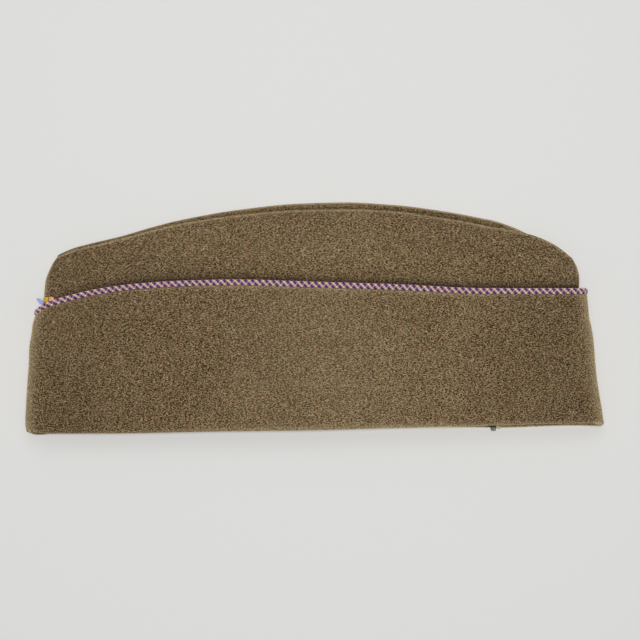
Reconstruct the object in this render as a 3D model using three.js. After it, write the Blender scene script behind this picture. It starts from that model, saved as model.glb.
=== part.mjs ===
// A garrison cap of olive drab wool, lying flat on its right side as it is laid on a table.
// The wearer's front points to -X, the mouth for the head opens to -Y, and the left side faces up (+Z).
// The crown is two side panels and a gusset folded in between their ridges. A curtain of doubled
// cloth is turned up round the crown, in a left and a right half, and a braided piping runs along its top edge.
// The left side lies on top and is called near; the right side lies on the table and is called far.

import * as THREE from "three";

// Driving sizes, in millimetres.
const CAP_LENGTH = 290; // from the front fold to the back fold, near the hem
const RIDGE_HEIGHT = 112.9; // from the lowest point of the hem to the near ridge
const RIDGE_OFFSET = 3.8; // how far the far ridge shows above the near one
const CURTAIN_HEIGHT = 74.2; // from the lowest point of the hem to the curtain's top edge
const HEM_RISE = 7; // how far the hem rises towards the back
const CROWN_TUCK = 16.6; // how far the crown's front corner stands behind the front fold
const CURTAIN_LEAN = 8.5; // how far the curtain's back edge leans in at its top
const CROWN_WALL = 1.5; // one layer of wool and its facing
const CURTAIN_WALL = 2.4; // two layers of wool
const GUSSET_WALL = 1.2;
const PIPING_DIAMETER = 3.5;
const PIPING_SEAT = 0.5; // from the curtain's edge up to the piping, so that it is clear where the edge slopes
const MOUTH_HEIGHT = 10; // clear height between the crown's panels at the mouth
const CURTAIN_FOLD = 12; // depth of the curtain's round fold at the front and back
const CROWN_FOLD = 8; // depth of the crown's round fold inside it
const CORNER_FOLD = 3; // depth of the crown's fold up at the ridge's corners
const CURTAIN_FLARE = 2; // how far the curtain's top edge stands off the crown
const HEM_LIP = 1.6; // thickness of the turned edge that covers the crown's hem
const GUSSET_DEPTH = 20; // how deep the gusset folds in, at the middle
const GUSSET_GROOVE = 0.8; // the slit between the gusset's two legs
const GUSSET_SEAT = 0.45; // from each panel to the gusset's leg beside it
const CORNER_SLIT = 1.6; // between the two panels where the gusset has run out
const PIPING_END_DIAMETER = 2.2;
const PIPING_END_RISE = 3.1; // from the piping's middle to the middle of the cut end above it
const KNOT_LENGTH = 4.2;
const KNOT_WIDTH = 3;
const KNOT_THICKNESS = 2.4;
const SEAM_GAP = 0.3; // kept between pieces that are sewn together
const SEAM_SPLIT = 0.5; // between the two sides at the front and back seams, measured straight up
const TABLE_CLEARANCE = 0.1; // kept under the ridge and the piping, which only just touch the table

// Places on the cap, as shares.
const CORD_LEVEL = 0.65; // the crown's rows below this share of its height lie behind the curtain
const END_CAMBER = 0.12; // how much the hollow has closed at the front and back
const GUSSET_FRONT_SHARE = 0.065;
const GUSSET_BACK_SHARE = 0.925;
const GUSSET_TIP_SHARE = 0.15; // depth left at the gusset's two tips
const KNOT_SHARE = 0.82;
const HEM_CORNER_SHARE = 0.3; // how much of the curtain's wall is rounded off at its hem and top edge

// Where the cut end of the piping lies on the crown's front fold, as angles of the fold.
const PIPING_END_FROM = THREE.MathUtils.degToRad(38);
const PIPING_END_TO = THREE.MathUtils.degToRad(74);

// How finely the cloth is divided.
const FOLD_STEPS = 5;
const LENGTH_STEPS = 22;
const GUSSET_STEPS = 24;
const TURN_STEPS = 4;
const PIPING_END_STEPS = 4;
const CORD_SIDES = 8;
const CROWN_ROWS = [0, 0.16, 0.33, 0.5, 0.58, CORD_LEVEL, 0.72, 0.8, 0.88, 0.95, 1];
const CURTAIN_ROWS = [0.03, 0.2, 0.4, 0.6, 0.8, 0.92, 0.97];

// The near ridge from the crown's front corner to its back corner; up is a share of RIDGE_HEIGHT,
// and far is the share of RIDGE_OFFSET by which the far ridge stands above it.
const RIDGE_LINE = [
  { along: 0, up: 0.757, far: 0 },
  { along: 0.028, up: 0.79, far: 0.25 },
  { along: 0.06, up: 0.822, far: 0.4 },
  { along: 0.14, up: 0.873, far: 0.42 },
  { along: 0.2, up: 0.912, far: 0.45 },
  { along: 0.25, up: 0.94, far: 0.52 },
  { along: 0.36, up: 0.976, far: 0.9 },
  { along: 0.47, up: 0.996, far: 1 },
  { along: 0.56, up: 1, far: 1 },
  { along: 0.64, up: 0.991, far: 1 },
  { along: 0.75, up: 0.959, far: 1.05 },
  { along: 0.82, up: 0.928, far: 0.95 },
  { along: 0.865, up: 0.909, far: 0.5 },
  { along: 0.9, up: 0.892, far: -0.1 },
  { along: 0.93, up: 0.868, far: -0.2 },
  { along: 0.95, up: 0.843, far: -0.15 },
  { along: 0.97, up: 0.8, far: -0.1 },
  { along: 1, up: 0.737, far: 0 },
];

// The curtain's top edge, which dips at the front; up is a share of CURTAIN_HEIGHT.
const CURTAIN_TOP = [
  { along: 0, up: 0.8 },
  { along: 0.02, up: 0.847 },
  { along: 0.05, up: 0.885 },
  { along: 0.12, up: 0.941 },
  { along: 0.19, up: 0.974 },
  { along: 0.28, up: 0.994 },
  { along: 0.37, up: 1 },
  { along: 0.48, up: 0.988 },
  { along: 0.66, up: 0.967 },
  { along: 0.81, up: 0.942 },
  { along: 1, up: 0.941 },
];

// The hem of the upper and the lower side, as shares of HEM_RISE.
const HEM_LINE = [
  { along: 0, near: 0.42, far: 0.42 },
  { along: 0.012, near: 0.28, far: 0.12 },
  { along: 0.04, near: 0.14, far: 0 },
  { along: 0.14, near: 0.12, far: 0.02 },
  { along: 0.35, near: 0.27, far: 0.2 },
  { along: 0.5, near: 0.35, far: 0.3 },
  { along: 0.65, near: 0.54, far: 0.46 },
  { along: 0.73, near: 0.6, far: 0.49 },
  { along: 0.82, near: 0.68, far: 0.45 },
  { along: 0.95, near: 0.8, far: 0.6 },
  { along: 0.985, near: 0.82, far: 0.68 },
  { along: 1, near: 0.86, far: 0.86 },
];

// The front and back edges of the curtain, as shares of CURTAIN_LEAN.
const CURTAIN_ENDS = [
  { up: 0, front: 0.05, back: 0.04 },
  { up: 0.05, front: 0, back: 0 },
  { up: 0.12, front: 0.01, back: 0.1 },
  { up: 0.22, front: 0.05, back: 0.22 },
  { up: 0.4, front: 0.12, back: 0.4 },
  { up: 0.6, front: 0.21, back: 0.53 },
  { up: 0.72, front: 0.27, back: 0.63 },
  { up: 0.84, front: 0.37, back: 0.81 },
  { up: 1, front: 0.6, back: 0.93 },
];

// The front and back edges of the crown, as shares of CROWN_TUCK.
const CROWN_ENDS = [
  { up: 0, front: 0.22, back: 0.25 },
  { up: 0.5, front: 0.38, back: 0.6 },
  { up: CORD_LEVEL, front: 0.585, back: 0.72 },
  { up: 0.78, front: 0.58, back: 0.735 },
  { up: 0.86, front: 0.59, back: 0.74 },
  { up: 0.93, front: 0.65, back: 0.735 },
  { up: 1, front: 0.77, back: 0.75 },
];

// How the crown lies: lift is the clear height inside it as a share of MOUTH_HEIGHT, and sag says how far
// the far panel has come down from the piping (1) to the table (0), or to the curtain below it.
const LIE = [
  { up: 0, lift: 1, bump: 0, sag: 1 },
  { up: 0.33, lift: 1.12, bump: 0, sag: 1 },
  { up: 0.5, lift: 1.06, bump: 0.25, sag: 1 },
  { up: CORD_LEVEL, lift: 0.94, bump: 1, sag: 1 },
  { up: 0.75, lift: 0.8, bump: 1, sag: 0.86 },
  { up: 0.88, lift: 0.55, bump: 1, sag: 0.38 },
  { up: 0.95, lift: 0.26, bump: 1, sag: 0.12 },
  { up: 1, lift: 0, bump: 1, sag: 0 },
];

// A smooth line through a table's rows that never overshoots them.
function lineThrough(rows, across, value) {
  const xs = rows.map((row) => row[across]);
  const ys = rows.map((row) => row[value]);
  const slopes = xs.slice(1).map((x, i) => (ys[i + 1] - ys[i]) / (x - xs[i]));
  const tangents = xs.map((_, i) => {
    const before = slopes[Math.max(i - 1, 0)];
    const after = slopes[Math.min(i, slopes.length - 1)];
    return before * after <= 0 ? 0 : (2 * before * after) / (before + after);
  });
  return (x) => {
    const at = THREE.MathUtils.clamp(x, xs[0], xs.at(-1));
    const i = Math.min(xs.findLastIndex((edge) => edge <= at), slopes.length - 1);
    const step = xs[i + 1] - xs[i];
    const s = (at - xs[i]) / step;
    const rise = s * s * (3 - 2 * s);
    const leaving = s * (1 - s) * (1 - s) * step * tangents[i];
    const arriving = s * s * (s - 1) * step * tangents[i + 1];
    return ys[i] + (ys[i + 1] - ys[i]) * rise + leaving + arriving;
  };
}

const ridgeUp = lineThrough(RIDGE_LINE, "along", "up");
const ridgeFar = lineThrough(RIDGE_LINE, "along", "far");
const curtainUp = lineThrough(CURTAIN_TOP, "along", "up");
const hemUp = { near: lineThrough(HEM_LINE, "along", "near"), far: lineThrough(HEM_LINE, "along", "far") };
const lieLift = lineThrough(LIE, "up", "lift");
const lieBump = lineThrough(LIE, "up", "bump");
const lieSag = lineThrough(LIE, "up", "sag");
const curtainEnds = {
  front: lineThrough(CURTAIN_ENDS, "up", "front"),
  back: lineThrough(CURTAIN_ENDS, "up", "back"),
};
const crownEnds = {
  front: lineThrough(CROWN_ENDS, "up", "front"),
  back: lineThrough(CROWN_ENDS, "up", "back"),
};

// Heights above the hem's lowest point, along +Y.
const curtainHem = (side, along) => HEM_RISE * hemUp[side](along);
const curtainEdge = (along) => CURTAIN_HEIGHT * curtainUp(along);
const crownHem = (side, along) => curtainHem(side, along) + HEM_LIP + SEAM_GAP;
const cordLine = (along) => curtainEdge(along) + PIPING_SEAT + PIPING_DIAMETER / 2;
const ridge = (side, along) => {
  const near = RIDGE_HEIGHT * ridgeUp(along);
  return side === "near" ? near : near + RIDGE_OFFSET * ridgeFar(along);
};

// The crown's rows run from its hem to the piping's line, and from there to the ridge.
function crownHeight(side, along, up) {
  const cord = cordLine(along);
  return up < CORD_LEVEL
    ? THREE.MathUtils.mapLinear(up, 0, CORD_LEVEL, crownHem(side, along), cord)
    : THREE.MathUtils.mapLinear(up, CORD_LEVEL, 1, cord, ridge(side, along));
}

function crownUp(side, along, height) {
  const cord = cordLine(along);
  const up = height < cord
    ? THREE.MathUtils.mapLinear(height, crownHem(side, along), cord, 0, CORD_LEVEL)
    : THREE.MathUtils.mapLinear(height, cord, ridge(side, along), CORD_LEVEL, 1);
  return THREE.MathUtils.clamp(up, 0, 1);
}

// The folded gusset between the ridges, which runs out before the crown's corners.
const gussetPack = 2 * (GUSSET_SEAT + GUSSET_WALL) + GUSSET_GROOVE;
function ridgeClearance(along) {
  const opening = Math.min(
    THREE.MathUtils.smoothstep(along, 0, GUSSET_FRONT_SHARE),
    1 - THREE.MathUtils.smoothstep(along, GUSSET_BACK_SHARE, 1),
  );
  return THREE.MathUtils.lerp(CORNER_SLIT, gussetPack, opening);
}

// The far panel lies on the curtain and the piping below it, and comes down to the table at its ridge.
function farOuter(along, height) {
  const up = crownUp("far", along, height);
  const onCurtain = CURTAIN_WALL + SEAM_GAP;
  const onPiping = PIPING_DIAMETER + TABLE_CLEARANCE + 2 * SEAM_GAP;
  const carried = THREE.MathUtils.lerp(onCurtain, onPiping, lieBump(up));
  return THREE.MathUtils.lerp(2 * TABLE_CLEARANCE, carried, lieSag(up));
}

function clearHeight(along, height) {
  const up = crownUp("near", along, height);
  const middle = 2 * along - 1;
  const open = MOUTH_HEIGHT * lieLift(up) * (1 - END_CAMBER * middle * middle);
  return Math.max(open, THREE.MathUtils.lerp(open, ridgeClearance(along), up ** 4));
}

const farInner = (along, height) => farOuter(along, height) + CROWN_WALL;
const nearInner = (along, height) => farInner(along, height) + clearHeight(along, height);
const nearOuter = (along, height) => nearInner(along, height) + CROWN_WALL;
const seamLevel = (along, height) => (farOuter(along, height) + nearOuter(along, height)) / 2;

// The two kinds of wall. Each says where its ends, its folds and its outer faces are.
// up is a share of the wall's own height, and height is measured from the hem's lowest point.
const crown = {
  ends: (up) => ({
    front: CROWN_TUCK * crownEnds.front(up),
    back: CAP_LENGTH - CROWN_TUCK * crownEnds.back(up),
  }),
  fold: (up) => THREE.MathUtils.lerp(CROWN_FOLD, CORNER_FOLD, THREE.MathUtils.smoothstep(up, CORD_LEVEL, 1)),
  outer: (side, along, up, height) => (side === "near" ? nearOuter : farOuter)(along, height),
};

const curtain = {
  ends: (up) => ({
    front: CURTAIN_LEAN * curtainEnds.front(up),
    back: CAP_LENGTH - CURTAIN_LEAN * curtainEnds.back(up),
  }),
  fold: () => CURTAIN_FOLD,
  outer: (side, along, up, height) => {
    const flare = THREE.MathUtils.lerp(SEAM_GAP, CURTAIN_FLARE, up * up);
    return side === "near" ? nearOuter(along, height) + flare + CURTAIN_WALL : 0;
  },
};

// Places along a wall, from its front seam round the front fold, along the side, and round the back fold.
// turn is the angle of the fold: 0 at the seam and a right angle where the fold meets the flat side.
function foldPlace(foldDepth, end, turn) {
  const within = (foldDepth / CAP_LENGTH) * (1 - Math.cos(turn));
  return { end, turn, along: end === "front" ? within : 1 - within };
}

function sidePlace(foldDepth, along) {
  const share = foldDepth / CAP_LENGTH;
  return { end: "side", turn: Math.PI / 2, along, across: (along - share) / (1 - 2 * share) };
}

function columns(foldDepth) {
  const share = foldDepth / CAP_LENGTH;
  const turns = Array.from({ length: FOLD_STEPS }, (_, i) => ((Math.PI / 2) * i) / FOLD_STEPS);
  const sides = Array.from({ length: LENGTH_STEPS + 1 }, (_, i) => i / LENGTH_STEPS);
  return [
    ...turns.map((turn) => foldPlace(foldDepth, "front", turn)),
    ...sides.map((across) => sidePlace(foldDepth, THREE.MathUtils.lerp(share, 1 - share, across))),
    ...turns.reverse().map((turn) => foldPlace(foldDepth, "back", turn)),
  ];
}

// A point of a wall, at a depth inside its outer face.
function wallPoint(wall, side, place, up, height, depth) {
  const { front, back } = wall.ends(up);
  const fold = wall.fold(up);
  const bow = depth + (fold - depth) * (1 - Math.cos(place.turn));
  const x = {
    front: () => front + bow,
    side: () => THREE.MathUtils.lerp(front + fold, back - fold, place.across),
    back: () => back - bow,
  }[place.end]();
  const inward = side === "near" ? -1 : 1;
  const seam = seamLevel(place.along, height) - (inward * SEAM_SPLIT) / 2;
  const face = wall.outer(side, place.along, up, height) + inward * depth;
  return new THREE.Vector3(x, height, THREE.MathUtils.lerp(seam, face, Math.sin(place.turn)));
}

// A closed solid through rings of points. The first half of a ring runs along one face and the second half
// comes back along the other, so that each end is closed by a strip between them. The far side's rings run
// the other way round, so its faces are turned over.
function loft(rings, turnedOver = false) {
  const around = rings[0].length;
  const faces = [];
  for (let ring = 0; ring + 1 < rings.length; ring++) {
    for (let i = 0; i < around; i++) {
      const a = ring * around + i;
      const b = ring * around + ((i + 1) % around);
      faces.push(a, b, b + around, a, b + around, a + around);
    }
  }
  const last = (rings.length - 1) * around;
  for (let i = 0; i + 1 < around - 2 - i; i++) {
    const [a, b, c, d] = [i, i + 1, around - 2 - i, around - 1 - i];
    faces.push(a, c, b, a, d, c);
    faces.push(last + a, last + b, last + c, last + a, last + c, last + d);
  }
  if (around % 2) {
    const tip = (around - 1) / 2;
    faces.push(tip - 1, tip + 1, tip, last + tip - 1, last + tip, last + tip + 1);
  }
  const geometry = new THREE.BufferGeometry();
  geometry.setFromPoints(rings.flat());
  geometry.setIndex(turnedOver ? faces.reverse() : faces);
  geometry.computeVertexNormals();
  return geometry;
}

// The section of a crown panel: down its outer face, across the hem and up its inner face.
function crownSection() {
  const down = CROWN_ROWS.slice(0, -1).reverse();
  const corner = CROWN_WALL / 3;
  return [
    { depth: corner, up: 1, drop: 0 },
    { depth: 0, up: 1, drop: corner },
    ...down.map((up) => ({ depth: 0, up, drop: 0 })),
    ...down.toReversed().map((up) => ({ depth: CROWN_WALL, up, drop: 0 })),
    { depth: CROWN_WALL, up: 1, drop: corner },
    { depth: CROWN_WALL - corner, up: 1, drop: 0 },
  ];
}

function crownPanel(side) {
  const section = crownSection();
  const rings = columns(CROWN_FOLD).map((place) =>
    section.map(({ depth, up, drop }) => {
      const height = crownHeight(side, place.along, up) - drop;
      return wallPoint(crown, side, place, up, height, depth);
    }),
  );
  return loft(rings, side === "far");
}

// The section of the curtain: its outer face, the lip under the crown's hem, and its inner face.
function curtainSection() {
  const round = HEM_CORNER_SHARE * CURTAIN_WALL;
  const lip = CURTAIN_WALL + SEAM_GAP + CROWN_WALL;
  const up = CURTAIN_ROWS;
  return [
    { depth: round, up: 1, lift: 0 },
    { depth: 0, up: 1, lift: -round },
    ...up.toReversed().map((share) => ({ depth: 0, up: share, lift: 0 })),
    { depth: round, up: 0, lift: 0 },
    { depth: lip, up: 0, lift: 0 },
    { depth: lip, up: 0, lift: HEM_LIP },
    { depth: CURTAIN_WALL, up: 0, lift: HEM_LIP },
    ...up.slice(1).map((share) => ({ depth: CURTAIN_WALL, up: share, lift: 0 })),
    { depth: CURTAIN_WALL, up: 1, lift: -round },
    { depth: CURTAIN_WALL - round, up: 1, lift: 0 },
  ];
}

function curtainHalf(side) {
  const section = curtainSection();
  const rings = columns(CURTAIN_FOLD).map((place) =>
    section.map(({ depth, up, lift }) => {
      const edge = curtainEdge(place.along);
      const height = THREE.MathUtils.lerp(curtainHem(side, place.along), edge, up) + lift;
      return wallPoint(curtain, side, place, up, height, depth);
    }),
  );
  return loft(rings, side === "far");
}

// The gusset: one leg hangs inside each ridge, and the two meet in a round fold below.
function crownGusset() {
  const half = GUSSET_WALL + GUSSET_GROOVE / 2;
  const legRows = [0, 0.35, 0.7, 1];
  const rings = [];
  for (let i = 0; i <= GUSSET_STEPS; i++) {
    const across = i / GUSSET_STEPS;
    const along = THREE.MathUtils.lerp(GUSSET_FRONT_SHARE, GUSSET_BACK_SHARE, across);
    const depth = GUSSET_DEPTH * THREE.MathUtils.lerp(GUSSET_TIP_SHARE, 1, Math.sin(Math.PI * across));
    const tops = { near: ridge("near", along) - SEAM_GAP, far: ridge("far", along) - SEAM_GAP };
    const bottom = Math.min(tops.near, tops.far) - depth;
    const { x } = wallPoint(crown, "near", sidePlace(CROWN_FOLD, along), 1, tops.near, 0);
    const middle = (height) => farInner(along, height) + clearHeight(along, height) / 2;
    const leg = (side, reach) =>
      legRows.map((row) => {
        const height = THREE.MathUtils.lerp(tops[side], bottom + half, row);
        const out = side === "near" ? reach : -reach;
        return new THREE.Vector3(x, height, middle(height) + out);
      });
    const turn = (reach) => {
      const points = [];
      for (let k = 1; k < TURN_STEPS; k++) {
        const angle = (Math.PI * k) / TURN_STEPS;
        const height = bottom + half - reach * Math.sin(angle);
        points.push(new THREE.Vector3(x, height, middle(bottom + half) + reach * Math.cos(angle)));
      }
      return points;
    };
    const skin = (reach) => [...leg("near", reach), ...turn(reach), ...leg("far", reach).reverse()];
    rings.push([...skin(half), ...skin(half - GUSSET_WALL).reverse()]);
  }
  return loft(rings);
}

// A round cord whose middle follows a list of points. The list runs one point past each end of the cord,
// so that the cord is cut square. Its sections keep one direction towards +Y.
function cordAlong(points, diameter) {
  const rings = points.slice(1, -1).map((point, i) => {
    const tangent = new THREE.Vector3().subVectors(points[i + 2], points[i]).normalize();
    const sideways = new THREE.Vector3().crossVectors(tangent, new THREE.Vector3(0, 1, 0)).normalize();
    const upwards = new THREE.Vector3().crossVectors(sideways, tangent);
    return Array.from({ length: CORD_SIDES }, (_, side) => {
      const angle = (2 * Math.PI * side) / CORD_SIDES;
      return point
        .clone()
        .addScaledVector(sideways, (-diameter / 2) * Math.cos(angle))
        .addScaledVector(upwards, (diameter / 2) * Math.sin(angle));
    });
  });
  return loft(rings);
}

// The piping sits on the curtain's top edge and follows it round both folds.
function pipingPoint(side, place) {
  const height = cordLine(place.along);
  const point = wallPoint(curtain, side, place, 1, height, CURTAIN_WALL / 2);
  point.z = Math.max(point.z, PIPING_DIAMETER / 2 + TABLE_CLEARANCE);
  return point;
}

function piping(side) {
  const other = side === "near" ? "far" : "near";
  const places = columns(CURTAIN_FOLD);
  const beyond = [places[1], places.at(-2)].map((place) => pipingPoint(other, place));
  return cordAlong([beyond[0], ...places.map((place) => pipingPoint(side, place)), beyond[1]], PIPING_DIAMETER);
}

// The piping's cut end, which lies on the crown's front fold just above the near piping.
function pipingEnd() {
  const depth = -SEAM_GAP - PIPING_END_DIAMETER / 2;
  const step = (PIPING_END_TO - PIPING_END_FROM) / PIPING_END_STEPS;
  const points = Array.from({ length: PIPING_END_STEPS + 3 }, (_, i) => {
    const place = foldPlace(CROWN_FOLD, "front", PIPING_END_FROM + (i - 1) * step);
    const height = cordLine(place.along) + PIPING_END_RISE;
    return wallPoint(crown, "near", place, crownUp("near", place.along, height), height, depth);
  });
  return cordAlong(points, PIPING_END_DIAMETER);
}

// A knot of thread at the mouth, where the sewing inside the hem is tied off.
function hemKnot() {
  const knot = new THREE.SphereGeometry(0.5, 12, 8);
  knot.scale(KNOT_LENGTH, KNOT_WIDTH, KNOT_THICKNESS);
  const { front, back } = crown.ends(0);
  const hem = curtainHem("far", KNOT_SHARE);
  const seat = farInner(KNOT_SHARE, hem) + SEAM_GAP + KNOT_THICKNESS / 2;
  knot.translate(THREE.MathUtils.lerp(front, back, KNOT_SHARE), hem, seat);
  return knot;
}

const wool = (colour) => new THREE.MeshStandardMaterial({ color: colour, roughness: 0.95, metalness: 0 });
const crownWool = wool(0x65573e);
const curtainWool = wool(0x6b5d43);
const braid = new THREE.MeshStandardMaterial({ color: 0x8a6a78, roughness: 0.6, metalness: 0 });
const cutBraid = new THREE.MeshStandardMaterial({ color: 0xd99a2b, roughness: 0.6, metalness: 0 });
const thread = new THREE.MeshStandardMaterial({ color: 0x2f342c, roughness: 0.7, metalness: 0 });

function piece(name, geometry, material) {
  const mesh = new THREE.Mesh(geometry, material);
  mesh.name = name;
  return mesh;
}

const cap = new THREE.Group();
cap.add(
  piece("crown_left", crownPanel("near"), crownWool),
  piece("crown_right", crownPanel("far"), crownWool),
  piece("crown_gusset", crownGusset(), crownWool),
  piece("curtain_left", curtainHalf("near"), curtainWool),
  piece("curtain_right", curtainHalf("far"), curtainWool),
  piece("piping_left", piping("near"), braid),
  piece("piping_right", piping("far"), braid),
  piece("piping_end", pipingEnd(), cutBraid),
  piece("hem_knot", hemKnot(), thread),
);

// The origin is on the table, under the middle of the cap.
const extent = new THREE.Box3().setFromObject(cap);
const middle = extent.getCenter(new THREE.Vector3());
cap.position.set(-middle.x, -middle.y, -extent.min.z);

const part = new THREE.Group();
part.add(cap);

export default part;
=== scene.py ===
# %% [markdown]
# # A garrison cap that lies on its side
# This lesson dresses a garrison cap of olive drab wool. The cap is flat when it isn't worn, so it lies on
# its right side, with the front to the left and the mouth for the head towards the reader.
# The imported model gives the frame: every piece made here, except the loose fibres, takes the place of one
# solid of that model.
# All lengths in the text are millimetres, and they become metres only when a mesh is made.

import math

import bpy
import numpy as np
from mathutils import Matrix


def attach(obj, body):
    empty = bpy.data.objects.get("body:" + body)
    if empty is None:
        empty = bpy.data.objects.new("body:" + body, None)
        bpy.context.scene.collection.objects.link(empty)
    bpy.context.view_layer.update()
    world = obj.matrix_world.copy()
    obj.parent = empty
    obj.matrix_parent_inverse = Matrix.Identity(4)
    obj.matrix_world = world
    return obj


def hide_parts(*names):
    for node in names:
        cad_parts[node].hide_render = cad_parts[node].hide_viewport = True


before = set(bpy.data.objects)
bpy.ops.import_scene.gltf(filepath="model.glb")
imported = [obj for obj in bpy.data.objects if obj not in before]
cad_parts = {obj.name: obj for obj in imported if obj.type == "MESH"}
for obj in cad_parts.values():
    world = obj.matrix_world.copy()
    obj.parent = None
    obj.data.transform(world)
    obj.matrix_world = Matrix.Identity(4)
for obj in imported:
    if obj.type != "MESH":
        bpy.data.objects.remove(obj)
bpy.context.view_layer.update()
MM = 0.001
print("solids in the packed model:", sorted(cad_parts))

# %% [markdown]
# ## Camera, light and floor
# The photograph looks straight down on the table. A long lens from well above gives that view with hardly
# any perspective. The light comes from nearly straight above, with a weaker lamp beyond the ridge and a pale
# world that stands in for the walls of a light tent. One faint shadow falls below the mouth.

# %% Camera
PICTURE_PIXELS = 640
PIXEL_MM = 0.5026
CAMERA_HEIGHT = 1200
CAMERA_FOCUS = 10
CAMERA_X = 3.3
CAMERA_Y = -0.75
SENSOR_WIDTH = 36
VIEW_DEPTH = 10


def add_object(name, data):
    """Puts a camera, lamp, curve or mesh into the scene as an object at the origin."""
    added = bpy.data.objects.new(name, data)
    bpy.context.scene.collection.objects.link(added)
    return added


camera_data = bpy.data.cameras.new("camera")
camera_data.sensor_width = SENSOR_WIDTH
camera_data.lens = SENSOR_WIDTH * (CAMERA_HEIGHT - CAMERA_FOCUS) / (PICTURE_PIXELS * PIXEL_MM)
camera_data.clip_end = VIEW_DEPTH
camera = add_object("camera", camera_data)
camera.location = (CAMERA_X * MM, CAMERA_Y * MM, CAMERA_HEIGHT * MM)
bpy.context.scene.camera = camera
bpy.context.scene.view_settings.view_transform = "Standard"
print("lens", round(camera_data.lens, 1), "mm")


# %% Lamps and world
def soft_lamp(name, place, width, power):
    data = bpy.data.lights.new(name, "AREA")
    data.shape = "DISK"
    data.size = width
    data.energy = power
    lamp = add_object(name, data)
    lamp.location = place
    lamp.rotation_euler = (-lamp.location).to_track_quat("-Z", "Y").to_euler()


soft_lamp("lamp_overhead", (0.0, 0.03, 1.9), 0.3, 22.8)
soft_lamp("lamp_beyond_ridge", (0.0, 0.55, 1.2), 0.7, 1.9)
world = bpy.data.worlds.new("studio")
world.use_nodes = True
background = world.node_tree.nodes["Background"]
background.inputs["Color"].default_value = (1, 1, 0.995, 1)
background.inputs["Strength"].default_value = 0.18
bpy.context.scene.world = world

# %% [markdown]
# ## One notation for node trees
# Materials and Geometry Nodes are both made of nodes. Written out node by node, a sum of three terms takes
# ten lines. Here one small class wraps a node's output, so that a Python expression adds the nodes for it,
# and one method makes any other node from its type, its settings and the values of its sockets.


# %% Expressions that add nodes
class Wire:
    """An output of a node. Arithmetic on wires adds Math or Vector Math nodes."""

    def __init__(self, graph, socket):
        self.graph = graph
        self.socket = socket

    def __getitem__(self, name):
        return Wire(self.graph, self.socket.node.outputs[name])

    def __add__(self, other):
        return self.graph.work("ADD", self, other)

    def __radd__(self, other):
        return self.graph.work("ADD", other, self)

    def __sub__(self, other):
        return self.graph.work("SUBTRACT", self, other)

    def __rsub__(self, other):
        return self.graph.work("SUBTRACT", other, self)

    def __mul__(self, other):
        return self.graph.work("MULTIPLY", self, other)

    def __rmul__(self, other):
        return self.graph.work("MULTIPLY", other, self)

    def __truediv__(self, other):
        return self.graph.work("DIVIDE", self, other)

    def __rtruediv__(self, other):
        return self.graph.work("DIVIDE", other, self)

    def __gt__(self, other):
        return self.graph.work("GREATER_THAN", self, other)


class Graph:
    """A node tree, with one method that adds any node and short names for those used most."""

    def __init__(self, tree):
        self.tree = tree

    def node(self, kind, settings=None, sockets=None):
        made = self.tree.nodes.new(kind)
        for name, value in (settings or {}).items():
            if name == "stops":
                self.set_stops(made.color_ramp, value)
            else:
                setattr(made, name, value)
        for name, value in (sockets or {}).items():
            self.feed(self.socket_of(made, name), value)
        outputs = [socket for socket in made.outputs if socket.enabled]
        return Wire(self, outputs[0]) if outputs else made

    def set_stops(self, ramp, stops):
        ramp.elements[0].position, ramp.elements[0].color = stops[0]
        ramp.elements[1].position, ramp.elements[1].color = stops[-1]
        for position, colour in stops[1:-1]:
            ramp.elements.new(position).color = colour

    def socket_of(self, made, name):
        if isinstance(name, int):
            return made.inputs[name]
        return next(socket for socket in made.inputs if socket.enabled and socket.name == name)

    def feed(self, socket, value):
        if isinstance(value, Wire):
            self.tree.links.new(value.socket, socket)
        elif isinstance(value, list):
            for wire in reversed(value):
                self.tree.links.new(wire.socket, socket)
        elif socket.type == "VECTOR" and isinstance(value, (int, float)):
            socket.default_value = (value, value, value)
        else:
            socket.default_value = value

    def work(self, operation, *terms):
        wires = [term for term in terms if isinstance(term, Wire)]
        with_vector = any(wire.socket.type == "VECTOR" for wire in wires)
        kind = "ShaderNodeVectorMath" if with_vector else "ShaderNodeMath"
        return self.node(kind, {"operation": operation}, dict(enumerate(terms)))

    def colour_mix(self, share, first, second, blend="MIX"):
        settings = {"data_type": "RGBA", "blend_type": blend}
        return self.node("ShaderNodeMix", settings, {"Factor": share, "A": first, "B": second})

    def clamp(self, value):
        return self.node("ShaderNodeClamp", None, {"Value": value})

    def axes(self, vector):
        return self.node("ShaderNodeSeparateXYZ", None, {"Vector": vector})

    def mark(self, name):
        """Reads a number that was stored on the mesh's points."""
        return self.node("ShaderNodeAttribute", {"attribute_name": name})["Fac"]


# %% Colours as a screen shows them
def paint(red, green, blue):
    """A colour as a screen shows it, turned into the light values that Blender works with."""
    shares = [value / 255 for value in (red, green, blue)]
    light = [s / 12.92 if s <= 0.04045 else ((s + 0.055) / 1.055) ** 2.4 for s in shares]
    return (*light, 1)


print("an olive drab in light values:", [round(value, 3) for value in paint(110, 95, 70)])

# %% [markdown]
# ## The floor
# The floor only has to be pale, matt and a little larger than any view. It isn't part of the cap.


# %% Start a material
def start_material(name, uniform):
    """A new material with its graph and its shader, which gets the values that are the same all over."""
    material = bpy.data.materials.new(name)
    material.use_nodes = True
    shader = material.node_tree.nodes["Principled BSDF"]
    for socket, value in uniform.items():
        shader.inputs[socket].default_value = value
    return material, Graph(material.node_tree), shader


# %% Floor
FLOOR_HALF = 4.0
FLOOR_LEVEL = -0.0002

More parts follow.
